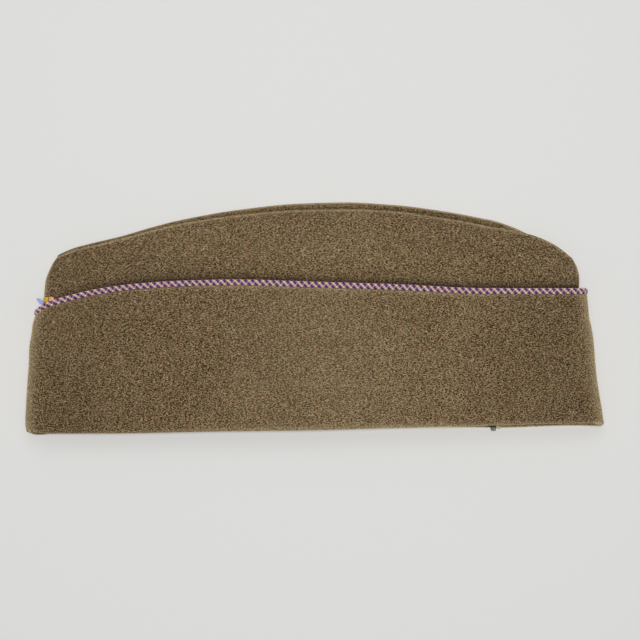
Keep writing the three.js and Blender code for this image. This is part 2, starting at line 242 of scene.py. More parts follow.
corners = [(x * FLOOR_HALF, y * FLOOR_HALF, FLOOR_LEVEL) for x, y in ((-1, -1), (1, -1), (1, 1), (-1, 1))]
floor_mesh = bpy.data.meshes.new("floor")
floor_mesh.from_pydata(corners, [], [(0, 1, 2, 3)])
floor_paper, _, _ = start_material("floor_paper", {
    "Base Color": paint(231, 231, 229), "Roughness": 0.9, "Specular IOR Level": 0.1})
floor_mesh.materials.append(floor_paper)
floor = add_object("floor", floor_mesh)
print("floor", 2 * FLOOR_HALF, "m wide")

# %% [markdown]
# ## The cut and the lie of the cap
# A garrison cap is two side panels with a gusset folded in between their ridges, and a curtain of doubled
# cloth turned up round them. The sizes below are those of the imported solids, so the cloth made here lies
# where the solids lie, only far more finely divided. The short tables after them give the cap's lines as
# shares of those sizes. The tables of the ridge, the hem and the curtain's ends keep closer to the
# photograph than the solids do, by up to about 2 mm.
# The left side lies on top and is called near. The right side lies on the table and is called far.

# %% Driving sizes
CAP_LENGTH = 290
RIDGE_HEIGHT = 112.9
RIDGE_OFFSET = 3.8
CURTAIN_HEIGHT = 74.2
HEM_RISE = 7
CROWN_TUCK = 16.6
CURTAIN_LEAN = 8.5
CROWN_WALL = 1.5
CURTAIN_WALL = 2.4
GUSSET_WALL = 1.2
PIPING_DIAMETER = 3.5
PIPING_SEAT = 0.5
MOUTH_HEIGHT = 10
CURTAIN_FOLD = 12
CROWN_FOLD = 8
CORNER_FOLD = 3
CURTAIN_FLARE = 2
HEM_LIP = 1.6
GUSSET_DEPTH = 20
GUSSET_GROOVE = 0.8
GUSSET_SEAT = 0.45
CORNER_SLIT = 1.6
SEAM_GAP = 0.3
SEAM_SLIT = 0.12
TABLE_CLEARANCE = 0.1
CORD_LEVEL = 0.65
END_CAMBER = 0.12
GUSSET_FRONT = 0.065
GUSSET_BACK = 0.925
GUSSET_TIP = 0.15
KNOT_PLACE = 0.82
ORIGIN_X = 145.011
ORIGIN_Y = 58.339

# %% Shape tables
RIDGE_LINE = np.array([
    # along, up, far
    (0, 0.757, 0), (0.028, 0.792, 0.3), (0.06, 0.822, 0.4), (0.14, 0.87, 0.4), (0.2, 0.909, 0.5),
    (0.25, 0.938, 0.56), (0.36, 0.978, 0.78), (0.47, 1, 0.94), (0.56, 1.004, 0.99), (0.64, 0.995, 0.94),
    (0.75, 0.959, 0.99), (0.82, 0.927, 0.98), (0.865, 0.909, 0.5), (0.9, 0.888, -0.05),
    (0.93, 0.858, -0.2), (0.95, 0.829, -0.15), (0.97, 0.79, -0.1), (1, 0.737, 0),
])
CURTAIN_TOP = np.array([
    # along, up
    (0, 0.796), (0.02, 0.842), (0.05, 0.88), (0.12, 0.94), (0.19, 0.974), (0.28, 0.994),
    (0.37, 1), (0.48, 0.988), (0.66, 0.967), (0.81, 0.942), (1, 0.941),
])
HEM_LINE = np.array([
    # along, near, far
    (0, 0.3, 0.12), (0.006, 0.3, 0), (0.012, 0.24, -0.05), (0.022, 0.17, -0.06), (0.04, 0.13, 0),
    (0.14, 0.12, 0.02), (0.35, 0.27, 0.2), (0.5, 0.35, 0.28), (0.65, 0.54, 0.42), (0.73, 0.6, 0.49),
    (0.82, 0.71, 0.45), (0.95, 0.835, 0.6), (0.985, 0.83, 0.585), (1, 0.63, 0.6),
])
CURTAIN_ENDS = np.array([
    # up, front, back
    (0, 0.02, -0.15), (0.02, 0.01, -0.13), (0.05, 0, -0.1), (0.12, 0.01, -0.03), (0.22, 0.05, 0.1),
    (0.4, 0.12, 0.31), (0.6, 0.21, 0.44), (0.72, 0.23, 0.54), (0.84, 0.36, 0.74), (0.93, 0.44, 0.81),
    (1, 0.58, 0.87),
])
CROWN_ENDS = np.array([
    # up, front, back
    (0, 0.22, 0.25), (0.5, 0.38, 0.6), (CORD_LEVEL, 0.585, 0.69), (0.78, 0.57, 0.67),
    (0.86, 0.585, 0.655), (0.93, 0.65, 0.66), (1, 0.77, 0.68),
])
LIE = np.array([
    # up, lift, bump, sag
    (0, 1, 0, 1), (0.33, 1.12, 0, 1), (0.5, 1.06, 0.25, 1), (CORD_LEVEL, 0.94, 1, 1),
    (0.75, 0.8, 1, 0.86), (0.88, 0.55, 1, 0.38), (0.95, 0.26, 1, 0.12), (1, 0, 1, 0),
])
print("shape tables:", RIDGE_LINE.shape, CURTAIN_TOP.shape, HEM_LINE.shape, LIE.shape)


# %% Smooth lines through the tables
def blend(first, second, share):
    return first + (second - first) * share


def smooth_step(value, low, high):
    share = np.clip((value - low) / (high - low), 0, 1)
    return share * share * (3 - 2 * share)


def line_through(table, column):
    """A smooth line through a table's rows that never overshoots them."""
    xs, ys = table[:, 0], table[:, column]
    slopes = np.diff(ys) / np.diff(xs)
    before = np.concatenate([slopes[:1], slopes])
    after = np.concatenate([slopes, slopes[-1:]])
    total = np.where(before * after > 0, before + after, 1)
    tangents = np.where(before * after > 0, 2 * before * after / total, 0)

    def line(x):
        at = np.clip(x, xs[0], xs[-1])
        i = np.clip(np.searchsorted(xs, at, side="right") - 1, 0, len(slopes) - 1)
        step = xs[i + 1] - xs[i]
        s = (at - xs[i]) / step
        rise = s * s * (3 - 2 * s)
        leaving = s * (1 - s) * (1 - s) * step * tangents[i]
        arriving = s * s * (s - 1) * step * tangents[i + 1]
        return ys[i] + (ys[i + 1] - ys[i]) * rise + leaving + arriving

    return line


ridge_up, ridge_far = line_through(RIDGE_LINE, 1), line_through(RIDGE_LINE, 2)
curtain_up = line_through(CURTAIN_TOP, 1)
hem_up = {"near": line_through(HEM_LINE, 1), "far": line_through(HEM_LINE, 2)}
lie_lift, lie_bump, lie_sag = (line_through(LIE, column) for column in (1, 2, 3))
curtain_front, curtain_back = line_through(CURTAIN_ENDS, 1), line_through(CURTAIN_ENDS, 2)
crown_front, crown_back = line_through(CROWN_ENDS, 1), line_through(CROWN_ENDS, 2)
print("ridge at the middle:", round(float(RIDGE_HEIGHT * ridge_up(0.5)), 1), "mm above the hem")


# %% Heights above the hem
def curtain_hem(side, along):
    return HEM_RISE * hem_up[side](along)


def curtain_edge(along):
    return CURTAIN_HEIGHT * curtain_up(along)


def crown_hem(side, along):
    return curtain_hem(side, along) + HEM_LIP + SEAM_GAP


def cord_line(along):
    return curtain_edge(along) + PIPING_SEAT + PIPING_DIAMETER / 2


def ridge(side, along):
    near = RIDGE_HEIGHT * ridge_up(along)
    return near if side == "near" else near + RIDGE_OFFSET * ridge_far(along)


def crown_height(side, along, up):
    cord = cord_line(along)
    below = blend(crown_hem(side, along), cord, up / CORD_LEVEL)
    above = blend(cord, ridge(side, along), (up - CORD_LEVEL) / (1 - CORD_LEVEL))
    return np.where(up < CORD_LEVEL, below, above)


print("curtain's edge at its middle:", round(float(curtain_edge(0.5)), 1), "mm above the hem")


# %% Shares of the crown's height and levels above the table
def crown_share(side, along, height):
    cord, hem = cord_line(along), crown_hem(side, along)
    below = CORD_LEVEL * (height - hem) / (cord - hem)
    above = blend(CORD_LEVEL, 1, (height - cord) / (ridge(side, along) - cord))
    return np.clip(np.where(height < cord, below, above), 0, 1)


def ridge_clearance(along):
    pack = 2 * (GUSSET_SEAT + GUSSET_WALL) + GUSSET_GROOVE
    opening = np.minimum(smooth_step(along, 0, GUSSET_FRONT), 1 - smooth_step(along, GUSSET_BACK, 1))
    return blend(CORNER_SLIT, pack, opening)


def far_outer(along, height):
    up = crown_share("far", along, height)
    on_curtain = CURTAIN_WALL + SEAM_GAP
    on_piping = PIPING_DIAMETER + TABLE_CLEARANCE + 2 * SEAM_GAP
    carried = blend(on_curtain, on_piping, lie_bump(up))
    return blend(2 * TABLE_CLEARANCE, carried, lie_sag(up))


def clear_height(along, height):
    up = crown_share("near", along, height)
    middle = 2 * along - 1
    hollow = MOUTH_HEIGHT * lie_lift(up) * (1 - END_CAMBER * middle * middle)
    return np.maximum(hollow, blend(hollow, ridge_clearance(along), up**4))


def far_inner(along, height):
    return far_outer(along, height) + CROWN_WALL


def near_outer(along, height):
    return far_inner(along, height) + clear_height(along, height) + CROWN_WALL


def seam_level(along, height):
    return (far_outer(along, height) + near_outer(along, height)) / 2


print("crown's top face at its middle:", round(float(near_outer(0.5, 60.0)), 1), "mm above the table")


# %% [markdown]
# ## Cloth that isn't quite flat
# Wool that has been worn and stored is never flat: it swells and dips by a few tenths of a millimetre over a
# thumb's width. Noise textures could fake that by shading alone, but the low light from the ridge's side
# and the outline show real relief better, so the cloth itself is moved, by a sum of slow waves with a fixed
# seed. Both faces of a wall and the pieces that lie on each other move together, so no gap closes.


# %% Slow waves in the cloth
def slow_waves(seed, count, shortest, longest, size):
    dice = np.random.default_rng(seed)
    length = shortest * (longest / shortest) ** dice.random(count)
    heading = dice.random(count) * math.pi
    phase = dice.random(count) * 2 * math.pi
    weight = length / np.sqrt(np.sum(length**2) / 2)

    def wave(x, y):
        total = np.zeros(np.broadcast(x, y).shape)
        for l, h, p, w in zip(length, heading, phase, weight):
            total = total + w * np.cos(2 * math.pi / l * (x * math.cos(h) + y * math.sin(h)) + p)
        return size * total

    return wave


near_waves = slow_waves(seed=4, count=26, shortest=16, longest=75, size=0.22)
far_waves = slow_waves(seed=9, count=22, shortest=18, longest=75, size=0.12)
print("swell of the upper cloth, rms:", round(float(np.std(near_waves(*np.mgrid[0:290, 0:110]))), 2), "mm")


# %% Places along a wall
FOLD_CROWDING = 1.25


class Places:
    """Columns of a wall: round the front fold, along the flat side and round the back fold."""

    def __init__(self, fold_depth, fold_steps, length_steps):
        share = fold_depth / CAP_LENGTH
        turns = math.pi / 2 * np.linspace(0, 1, fold_steps, endpoint=False) ** FOLD_CROWDING
        within = share * (1 - np.cos(turns))
        flat = np.linspace(share, 1 - share, length_steps + 1)
        rows = [(-1, t, w) for t, w in zip(turns, within)]
        rows += [(0, math.pi / 2, a) for a in flat]
        rows += [(1, t, 1 - w) for t, w in zip(turns[::-1], within[::-1])]
        rows = np.array(rows)
        self.end, self.turn, self.along = rows[:, :1], rows[:, 1:2], rows[:, 2:3]
        self.across = (self.along - share) / (1 - 2 * share)


print("columns along a wall with 16 steps in each fold and 250 between:", len(Places(8, 16, 250).along))


# %% The two walls' ends, folds and outer faces
def crown_ends(up):
    return CROWN_TUCK * crown_front(up), CAP_LENGTH - CROWN_TUCK * crown_back(up)


def crown_fold(up):
    return blend(CROWN_FOLD, CORNER_FOLD, smooth_step(up, CORD_LEVEL, 1))


def crown_outer(side, along, up, height):
    return near_outer(along, height) if side == "near" else far_outer(along, height)


def curtain_ends(up):
    return CURTAIN_LEAN * curtain_front(up), CAP_LENGTH - CURTAIN_LEAN * curtain_back(up)


def curtain_fold(up):
    return CURTAIN_FOLD + 0 * up


def curtain_outer(side, along, up, height):
    flare = blend(SEAM_GAP, CURTAIN_FLARE, up * up)
    return near_outer(along, height) + flare + CURTAIN_WALL if side == "near" else 0 * height


CROWN = (crown_ends, crown_fold, crown_outer)
CURTAIN = (curtain_ends, curtain_fold, curtain_outer)


# %% Points of a wall
FAR_DIP = 0.5


def wall_points(wall, side, at, up, height, depth, raised=0.0):
    """Points of a wall, at a depth inside its outer face, raised out of that face by a relief."""
    ends, fold_of, outer = wall
    front, back = ends(up)
    fold = fold_of(up)
    bow = depth + (fold - depth) * (1 - np.cos(at.turn))
    on_side = blend(front + fold, back - fold, at.across)
    x = np.where(at.end < 0, front + bow, np.where(at.end > 0, back - bow, on_side))
    inward = -1 if side == "near" else 1
    seam = seam_level(at.along, height) - inward * SEAM_SLIT / 2
    face = outer(side, at.along, up, height) + inward * depth
    z = blend(seam, face, np.sin(at.turn))
    if side == "near":
        relief = near_waves(x, height)
    else:
        relief = -FAR_DIP * np.abs(far_waves(x, height))
    relief = (relief * np.sin(at.turn) + raised) * np.ones_like(z)
    x = x + relief * at.end * np.cos(at.turn)
    z = z - inward * relief * np.sin(at.turn)
    return np.stack([x, height * np.ones_like(z), z], axis=-1)


# %% From points in millimetres to a smooth mesh
def in_metres(points):
    return (points - np.array([ORIGIN_X, ORIGIN_Y, 0])) * MM


def between_rings(index):
    """Quads between neighbouring rings. Each row of the index numbers the points of one ring."""
    ahead = np.roll(index, -1, axis=1)
    return np.stack([index[:-1], ahead[:-1], ahead[1:], index[1:]], axis=-1).reshape(-1, 4)


def smooth_mesh(name, points, faces):
    mesh = bpy.data.meshes.new(name)
    mesh.from_pydata(in_metres(points).tolist(), [], faces)
    mesh.polygons.foreach_set("use_smooth", [True] * len(mesh.polygons))
    return mesh


# %% From rings of points to a closed wall
def cloth_piece(name, rings, turned_over=False, marks=None):
    """A closed wall through rings of points, with a UV map in real lengths and named marks on its points."""
    count, around, _ = rings.shape
    index = np.arange(count * around).reshape(count, around)
    i = np.arange(around // 2 - 1)
    cap = np.stack([i, around - 1 - i, around - 2 - i, i + 1], axis=-1)
    faces = np.concatenate([between_rings(index), cap, cap[:, ::-1] + index[-1, 0]])
    if turned_over:
        faces = faces[:, ::-1]
    mesh = smooth_mesh(name, rings.reshape(-1, 3), faces.tolist())
    lengthwise = np.linalg.norm(np.diff(rings, axis=0, prepend=rings[:1]), axis=2).cumsum(axis=0)
    crosswise = np.linalg.norm(np.diff(rings, axis=1, prepend=rings[:, :1]), axis=2).cumsum(axis=1)
    lengthwise = lengthwise - lengthwise[count // 2]
    flat = np.stack([lengthwise, crosswise], axis=-1).reshape(-1, 2) * MM
    corner_points = np.empty(len(mesh.loops), dtype=np.int32)
    mesh.loops.foreach_get("vertex_index", corner_points)
    uv_map = mesh.uv_layers.new(name="cloth")
    uv_map.data.foreach_set("uv", flat[corner_points].astype(np.float32).ravel())
    for mark, values in (marks or {}).items():
        attribute = mesh.attributes.new(mark, "FLOAT", "POINT")
        spread = np.broadcast_to(values, (count, around)).astype(np.float32)
        attribute.data.foreach_set("value", np.ascontiguousarray(spread).ravel())
    print(name, len(mesh.polygons) * 2, "triangles")
    return add_object(name, mesh)


# %% [markdown]
# ## Wool serge
# Milled wool has a short felted nap: close up it is a tangle of fibres, dark in the hollows and pale where
# single fibres catch the light, with the diagonal of the twill only just showing through.
# An image would repeat and can't be used here. Noise at three scales, read from the cloth's own UV map in
# real lengths, gives the tangle: stretched noise in two directions for the fibres, fine noise for their
# depth, and a slow one for the wear. The same heights drive the bump, so colour and relief agree.
# Each mesh also carries a mark named shade, which paints light and shade into the colour: where it is
# positive it mixes in painted shade, and where it is negative a pale, speckled painted highlight.


# %% Wool material
def fibres(graph, flat, heading, scale, twist):
    """A tangle of short strokes that mostly run one way."""
    turned = graph.node("ShaderNodeMapping", None, {
        "Vector": flat, "Rotation": (0, 0, math.radians(heading)), "Scale": scale})
    return graph.node("ShaderNodeTexNoise", None, {
        "Vector": turned, "Scale": 1.0, "Detail": 1.0, "Roughness": 0.6, "Distortion": twist})


NAP_DEPTH = 0.5
WOOL_CONTRAST = 6.2
WEAR_CONTRAST = 0.3
FROST_CONTRAST = 6.0
TINT_CONTRAST = 4.0
# The colours of the painted shade and of the speckled painted highlight.
DEEP_SHADE = paint(34, 20, 12)
HIGHLIGHT_DARK = paint(126, 106, 70)
HIGHLIGHT_LIGHT = paint(238, 216, 174)
SEAM_STRIP = paint(96, 78, 66)
RUST_TINT = (1.0, 0.86, 0.82, 1)
MOSS_TINT = (0.9, 1.0, 0.8, 1)


def wool(name, dark, middle, light, strip_share):
    """Milled wool in three tones. The last value says how far the strip beside a seam shows."""
    material, graph, shader = start_material(name, {
        "Roughness": 0.92, "Specular IOR Level": 0.18, "Sheen Weight": 0.6, "Sheen Roughness": 0.3,
        "Sheen Tint": paint(228, 200, 144)})
    flat = graph.node("ShaderNodeUVMap", {"uv_map": "cloth"})
    place = graph.node("ShaderNodeTexCoord")["Object"]
    first = fibres(graph, flat, 52, (1250, 2500, 1), 0.9)
    second = fibres(graph, flat, -33, (1200, 2400, 1), 1.1)
    speck = graph.node("ShaderNodeTexNoise", None, {
        "Vector": flat, "Scale": 2600.0, "Detail": 2.0, "Roughness": 0.6})
    wear = graph.node("ShaderNodeTexNoise", None, {
        "Vector": place, "Scale": 22.0, "Detail": 4.0, "Roughness": 0.55})
    tangle = first * 0.42 + second * 0.38 + speck * 0.2
    tone = (tangle - 0.5) * WOOL_CONTRAST + 0.5 + (wear - 0.5) * WEAR_CONTRAST
    stops = [(0.12, dark), (0.5, middle), (0.9, light)]
    colour = graph.node("ShaderNodeValToRGB", {"stops": stops}, {"Fac": tone})
    shade = graph.mark("shade")
    strip = graph.mark("seam_strip")
    patches = graph.node("ShaderNodeTexNoise", None, {"Vector": flat, "Scale": 260.0, "Detail": 2.0}) - 0.5
    frost = graph.node("ShaderNodeTexNoise", None, {"Vector": place, "Scale": 1500.0, "Detail": 2.0})
    painted_highlight = graph.colour_mix((frost - 0.5) * FROST_CONTRAST + 0.5, HIGHLIGHT_DARK, HIGHLIGHT_LIGHT)
    colour = graph.colour_mix(patches * TINT_CONTRAST, colour, RUST_TINT, "MULTIPLY")
    colour = graph.colour_mix(patches * -TINT_CONTRAST, colour, MOSS_TINT, "MULTIPLY")
    # Painted shade where the shade mark is positive, painted highlight where it is negative.
    colour = graph.colour_mix(shade, colour, DEEP_SHADE)
    colour = graph.colour_mix(shade * -1.0, colour, painted_highlight)
    colour = graph.colour_mix(strip * strip_share, colour, SEAM_STRIP)
    bump = graph.node("ShaderNodeBump", None, {
        "Strength": 0.55, "Distance": NAP_DEPTH * MM, "Height": tangle})
    graph.feed(shader.inputs["Base Color"], colour)
    graph.feed(shader.inputs["Normal"], bump)
    return material


crown_wool = wool("crown_wool", paint(36, 20, 0), paint(90, 69, 38), paint(176, 153, 119), 0.15)
curtain_wool = wool("curtain_wool", paint(36, 20, 0), paint(89, 68, 37), paint(174, 151, 118), 0.0)
print("wool materials:", crown_wool.name, curtain_wool.name)


# %% Give a piece its material and its body
def dress(piece, material, slot, *nodes):
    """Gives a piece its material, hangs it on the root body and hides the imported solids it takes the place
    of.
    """
    if material is not None:
        piece.data.materials.clear()
        piece.data.materials.append(material)
    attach(piece, "root")
    if nodes:
        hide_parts(*nodes)
    return piece


# %% [markdown]
# ## The crown's side panels
# Each panel is one layer of wool with a thin facing, sewn to the gusset along its ridge. The seam's turned
# edges make the ridge a soft roll with a slight channel below it, which pulls into small puckers. A flat
# sheet with Solidify would get its folds only by sculpting, so the panel is a wall through rings, each of
# which runs down the outer face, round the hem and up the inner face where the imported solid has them.

# %% Crown panels
CROWN_FOLD_STEPS = 16
CROWN_LENGTH_STEPS = 250
EDGE_STEPS = 6
LOWER_ROWS = np.linspace(0, 0.86, 36)
UPPER_ROWS = np.linspace(0.86, 1, 25)[1:]


def crown_section():
    """Depth, share of the height and drop of each point round a panel's section, from the ridge's middle."""
    half = CROWN_WALL / 2
    rows = np.concatenate([LOWER_ROWS, UPPER_ROWS])
    angle = np.linspace(math.pi / 2, math.pi, EDGE_STEPS + 1)[:-1]
    edge = [(half + half * math.cos(a), 1, half - half * math.sin(a)) for a in angle]
    outer = [(0, row, half if row == 1 else 0) for row in rows[::-1]]
    inner = [(CROWN_WALL - depth, row, drop) for depth, row, drop in outer[::-1]]
    other_edge = [(CROWN_WALL - depth, row, drop) for depth, row, drop in edge[:0:-1]]
    section = edge + outer + inner + other_edge
    return np.array(section[:len(section) // 2 * 2], dtype=float).T


def ridge_roll(x, below):
    pucker = 0.75 + 0.25 * np.cos(x / 1.15 + 1.4 * np.sin(x / 7.3)) * np.cos(x / 11)
    roll = 0.42 * np.exp(-(((below - 1.15) / 0.8) ** 2))
    channel = 0.38 * np.exp(-(((below - 3.3) / 1.15) ** 2)) * pucker
    return roll - channel


def crown_shade(side, at, height, below):
    """Painted shade along the piping and towards the front, and painted highlights along the ridge and the
    folds.
    """
    along = at.along
    gap = np.maximum(height - cord_line(along) - PIPING_DIAMETER / 2, 0)
    middle = smooth_step(along, 0.2, 0.4) * (1 - smooth_step(along, 0.6, 0.8))
    # Painted shade: a dark contact shadow along the top of the piping.
    shade_beside_cord = (0.95 - 0.16 * middle) * np.exp(-gap / 2.2)
    # Painted shade, darker towards the front.
    front = 0.24 * (1 - smooth_step(along, 0.2, 0.42)) * (1 - 0.6 * smooth_step(gap, 8, 22))
    forward = 1 - smooth_step(along, 0.28, 0.42)
    # Painted highlight along the ridge's edge.
    ridge_highlight_size = 0.5 + (0.16 if side == "near" else -0.3) * forward
    ridge_highlight = ridge_highlight_size * np.exp(-(((below - 0.45) / 0.62) ** 2))
    # Painted highlight along the folds.
    fold_highlight = (0.52 + 0.5 * forward) * np.exp(-CROWN_FOLD * (1 - np.cos(at.turn)) / (2.0 + 1.2 * forward))
    return 1 - (1 - shade_beside_cord) * (1 - front) - ridge_highlight - fold_highlight * (1 - shade_beside_cord)


def crown_panel(name, side):
    depth, up, drop = (row[None] for row in crown_section())
    at = Places(CROWN_FOLD, CROWN_FOLD_STEPS, CROWN_LENGTH_STEPS)
    height = crown_height(side, at.along, up) - drop
    below = ridge(side, at.along) - height
    outside = 1 - depth / CROWN_WALL
    fade = smooth_step(at.along, 0.01, 0.08) * (1 - smooth_step(at.along, 0.93, 0.99))
    near = 1 if side == "near" else 0
    raised = ridge_roll(at.along * CAP_LENGTH, below) * fade * near
    seam_valley = 0.3 * np.exp(-((at.turn / 0.16) ** 2)) * outside
    rings = wall_points(CROWN, side, at, up, height, depth, raised - seam_valley)
    strip = np.exp(-(((below - 3.0) / 1.3) ** 2)) * fade * near
    marks = {"seam_strip": strip, "shade": crown_shade(side, at, height, below)}
    return cloth_piece(name, rings, side == "far", marks)


cloths = {}
for node, side in (("crown_left", "near"), ("crown_right", "far")):
    cloths[node] = dress(crown_panel(node + "_cloth", side), crown_wool, "crown_wool", node)

# %% [markdown]
# ## The gusset
# The gusset closes the crown's top. When the cap lies flat it folds inwards, so that its two legs hang
# between the panels and meet in a round fold below the ridge. From above only the groove between the legs
# and the edge of the far leg show. It is folded in formulas too, because a simulated fold would not keep
# the narrow room that the panels leave it.

# %% Gusset
GUSSET_STEPS = 150
LEG_ROWS = 44
GUSSET_LEAN = 0.3
GUSSET_EDGE = 0.35
FAR_ROLL_START = 0.9
FAR_ROLL_LIFT = 1.6
TURN_ROWS = 10


def gusset():
    half = GUSSET_WALL + GUSSET_GROOVE / 2
    along = np.linspace(GUSSET_FRONT, GUSSET_BACK, GUSSET_STEPS + 1)[:, None]
    across = (along - GUSSET_FRONT) / (GUSSET_BACK - GUSSET_FRONT)
    deep = GUSSET_DEPTH * blend(GUSSET_TIP, 1, np.sin(math.pi * across))
    near_top, far_top = ridge("near", along) - SEAM_GAP, ridge("far", along) - SEAM_GAP
    bottom = np.minimum(near_top, far_top) - deep
    front, back = crown_ends(1.0)
    fold = crown_fold(1.0)
    share = CROWN_FOLD / CAP_LENGTH
    x = blend(front + fold, back - fold, (along - share) / (1 - 2 * share))
    rows = np.linspace(0, 1, LEG_ROWS)[None]
    angle = np.linspace(0, math.pi, TURN_ROWS + 1)[1:-1][None]

    def middle(height):
        return far_inner(along, height) + clear_height(along, height) / 2

    def far_roll(height):
        """The turned edges of the far seam lift the gusset's far leg where it shows beyond the groove."""
        start, end = near_top + FAR_ROLL_START, far_top - SEAM_GAP
        room = np.maximum(end - start, 0.01)
        size = np.minimum(FAR_ROLL_LIFT, 0.6 * room)
        return size * np.sin(math.pi * np.clip((height - start) / room, 0, 1)) ** 0.8

    def lean(height, top):
        """Near its seam each leg leans against its panel."""
        return GUSSET_LEAN * smooth_step(height, top - 3, top - 0.3)

    def skin(reach):
        """Heights and levels of one face: down the near leg, round the turn and up the far leg."""
        near = blend(near_top - GUSSET_EDGE, bottom + half, rows)
        near_level = middle(near) + reach + lean(near, near_top)
        turn = bottom + half - reach * np.sin(angle)
        turn_level = middle(bottom + half) + reach * np.cos(angle)
        far = blend(far_top - GUSSET_EDGE, bottom + half, rows)[:, ::-1]
        far_level = middle(far) - reach - lean(far, far_top) + far_roll(far)
        return np.hstack([near, turn, far]), np.hstack([near_level, turn_level, far_level])

    outer_height, outer_level = skin(half)
    inner_height, inner_level = skin(half - GUSSET_WALL)
    near_tip = middle(near_top) + half + GUSSET_LEAN - GUSSET_WALL / 2
    far_tip = middle(far_top) - half - GUSSET_LEAN + GUSSET_WALL / 2
    height = np.hstack([outer_height, far_top, inner_height[:, ::-1], near_top])
    z = np.hstack([outer_level, far_tip, inner_level[:, ::-1], near_tip])
    x = x + 0 * height
    relief = near_waves(x, height) * 0.5
    rings = np.stack([x, height, z + relief], axis=-1)
    on_far_leg = z < middle(height)
    # Painted highlight along the far leg's edge, over a faint painted shade on the whole gusset.
    far_leg_highlight = (0.15 + 0.5 * smooth_step(along, 0.3, 0.45)) * np.exp(-((far_top - height) / 0.9) ** 2)
    return cloth_piece("crown_gusset_cloth", rings, marks={"shade": 0.04 - far_leg_highlight * on_far_leg})


dress(gusset(), crown_wool, "crown_wool", "crown_gusset")

# %% [markdown]
# ## The curtain
# The curtain is doubled cloth: it goes down the outside, turns round at the hem and comes up again, and its
# two edges hold the piping between them. Its two layers never part, so one ring makes its whole section:
# a rolled top edge with a seat for the piping, the outer face, a round hem that covers the crown's edge,
# and the inner face.

# %% Curtain halves
CURTAIN_FOLD_STEPS = 18
CURTAIN_LENGTH_STEPS = 250


def curtain_section():
    """Depth, share of the height, and lift of each point of the curtain's section."""
    lip = CURTAIN_WALL + SEAM_GAP + CROWN_WALL
    reach = PIPING_DIAMETER / 2 + 0.1
    seat_depth = np.array([1.2, 0.95, 0.7, 0.5, 0.34])
    seat = PIPING_SEAT + PIPING_DIAMETER / 2 - np.sqrt(reach**2 - (seat_depth - 1.2) ** 2)
    edge_depth = np.array([0.2, 0.08, 0.0])
    edge = np.array([0.6, 0.42, 0.15])
    outer = [(d, 1, l) for d, l in zip(seat_depth, seat)] + [(d, 1, l) for d, l in zip(edge_depth, edge)]
    row_runs = ((0.985, 0.9, 8), (0.88, 0.12, 32), (0.1, 0.035, 5))
    rows = np.concatenate([np.linspace(*run) for run in row_runs])
    outer += [(0, row, 0) for row in rows]
    angle = np.linspace(0, math.pi, 15)
    hem = [(lip / 2 * (1 - math.cos(a)), 0, HEM_LIP * (1 - math.sin(a))) for a in angle]
    hem[-1] = (lip, 0, HEM_LIP)
    inner = [(CURTAIN_WALL, 0, HEM_LIP)]
    inner += [(CURTAIN_WALL, row, 0) for row in np.linspace(0.05, 0.97, len(rows) - 1)]
    inner += [(CURTAIN_WALL - d, 1, l) for d, l in zip(edge_depth[::-1], edge[::-1])]
    inner += [(CURTAIN_WALL - d, 1, l) for d, l in zip(seat_depth[:0:-1], seat[:0:-1])]
    section = outer + hem + inner
    return np.array(section if len(section) % 2 == 0 else section[:-1], dtype=float).T


def curtain_shade(side, at, up, lift, depth, height):
    """Painted shade towards both ends and in the seat beside the piping, and painted highlights along the
    folds, the top and the hem.
    """
    # Painted shade, darker towards both ends.
    ends = np.minimum(0.3 * ((at.along * CAP_LENGTH - 148) / 125) ** 2, 0.26)
    # Painted shade in the seat under the piping.
    groove = 0.66 * (up >= 1) * smooth_step(lift, 0.42, 0.62)
    # Painted highlight along the top edge.
    from_top = np.maximum(curtain_edge(at.along) + 0.35 - height, 0)
    top_highlight = 0.34 * np.exp(-from_top / 0.55) * (depth < 0.5) * (lift < 0.5)
    # Painted highlight along the hem.
    above_hem = height - curtain_hem(side, at.along)
    backward = smooth_step(at.along, 0.4, 0.75)
    hem_highlight_size = 0.66 + 0.5 * backward if side == "near" else 0.7 + 1.0 * backward
    hem_highlight = hem_highlight_size * np.exp(-above_hem / (0.95 - 0.3 * backward))
    # Painted highlight along the folds.
    fold_highlight = 1.15 * np.exp(-CURTAIN_FOLD * (1 - np.cos(at.turn)) / 4.2) * (depth < 2.2)
    return ends + groove - top_highlight - hem_highlight - fold_highlight


def curtain_half(name, side):
    depth, up, lift = (row[None] for row in curtain_section())
    at = Places(CURTAIN_FOLD, CURTAIN_FOLD_STEPS, CURTAIN_LENGTH_STEPS)
    height = blend(curtain_hem(side, at.along), curtain_edge(at.along), up) + lift
    outside = np.clip(1 - depth / CURTAIN_WALL, 0, 1)
    seam_valley = 0.3 * np.exp(-((at.turn / 0.12) ** 2)) * outside
    rings = wall_points(CURTAIN, side, at, up, height, depth, -seam_valley)
    shade = curtain_shade(side, at, up, lift, depth, height)
    return cloth_piece(name, rings, side == "far", {"shade": shade})


for node, side in (("curtain_left", "near"), ("curtain_right", "far")):
    cloths[node] = dress(curtain_half(node + "_cloth", side), curtain_wool, "curtain_wool", node)

# %% [markdown]
# ## Loose fibres
# Milled wool sheds: single pale fibres work loose and lie curled on the cloth, and a few stand off it.
# Noise can't make them, because each is a thin line of its own with a beginning and an end. Geometry Nodes
# scatter small bent tubes over the outer faces, sparser in the dark groove beside the piping and none close
# to the table. A fixed seed keeps them where they are.


# %% A node tree with named inputs
def geometry_tree(name, inputs):
    """A Geometry Nodes tree with one geometry input, named number inputs and one geometry output."""
    tree = bpy.data.node_groups.new(name, "GeometryNodeTree")
    tree.interface.new_socket("Geometry", in_out="INPUT", socket_type="NodeSocketGeometry")
    tree.interface.new_socket("Geometry", in_out="OUTPUT", socket_type="NodeSocketGeometry")
    for label, (kind, value) in inputs.items():
        socket = tree.interface.new_socket(label, in_out="INPUT", socket_type=kind)
        socket.default_value = value
    graph = Graph(tree)
    entry = graph.node("NodeGroupInput")
    return graph, entry


